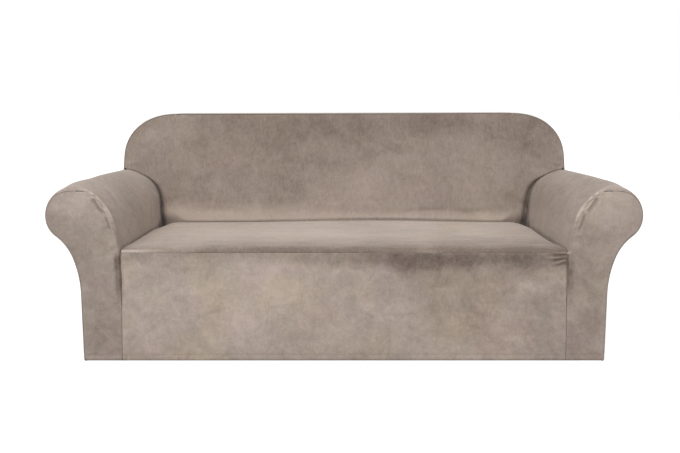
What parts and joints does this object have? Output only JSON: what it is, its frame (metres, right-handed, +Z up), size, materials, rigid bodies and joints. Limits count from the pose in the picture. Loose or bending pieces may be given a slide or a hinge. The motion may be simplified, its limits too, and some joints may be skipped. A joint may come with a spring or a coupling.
{
  "type": "sofa slipcover",
  "caption": "Fitted stretch-velvet slipcover for a roll-arm sofa: a hollow shell of sewn panels with a turned-under hem.",
  "frame": {"origin": "middle of the back's width, under the cloth of the top band, where the top of the sofa's back carries the cover", "axes": "+X to the right for someone facing the sofa, along its width; +Y from the front to the rear; +Z up"},
  "size_m": [2.0905, 0.8628, 0.8652],
  "materials": {
    "seat_velvet": "crushed stretch velvet, taupe, pile brushed flat and light",
    "front_velvet": "crushed stretch velvet, taupe, mottled",
    "back_velvet": "crushed stretch velvet, taupe, a shade darker",
    "rear_velvet": "crushed stretch velvet, taupe, plain",
    "arm_velvet": "crushed stretch velvet, taupe, with a soft sheen on the rolls"
  },
  "bodies": {
    "root": {"seat_panel": "seat_velvet", "front_panel": "front_velvet", "inside_back_panel": "back_velvet", "back_band": "back_velvet", "outside_back_panel": "rear_velvet", "arm_panel_left": "arm_velvet", "arm_panel_right": "arm_velvet", "arm_front_panel_left": "arm_velvet", "arm_front_panel_right": "arm_velvet"}
  },
  "joints": []
}
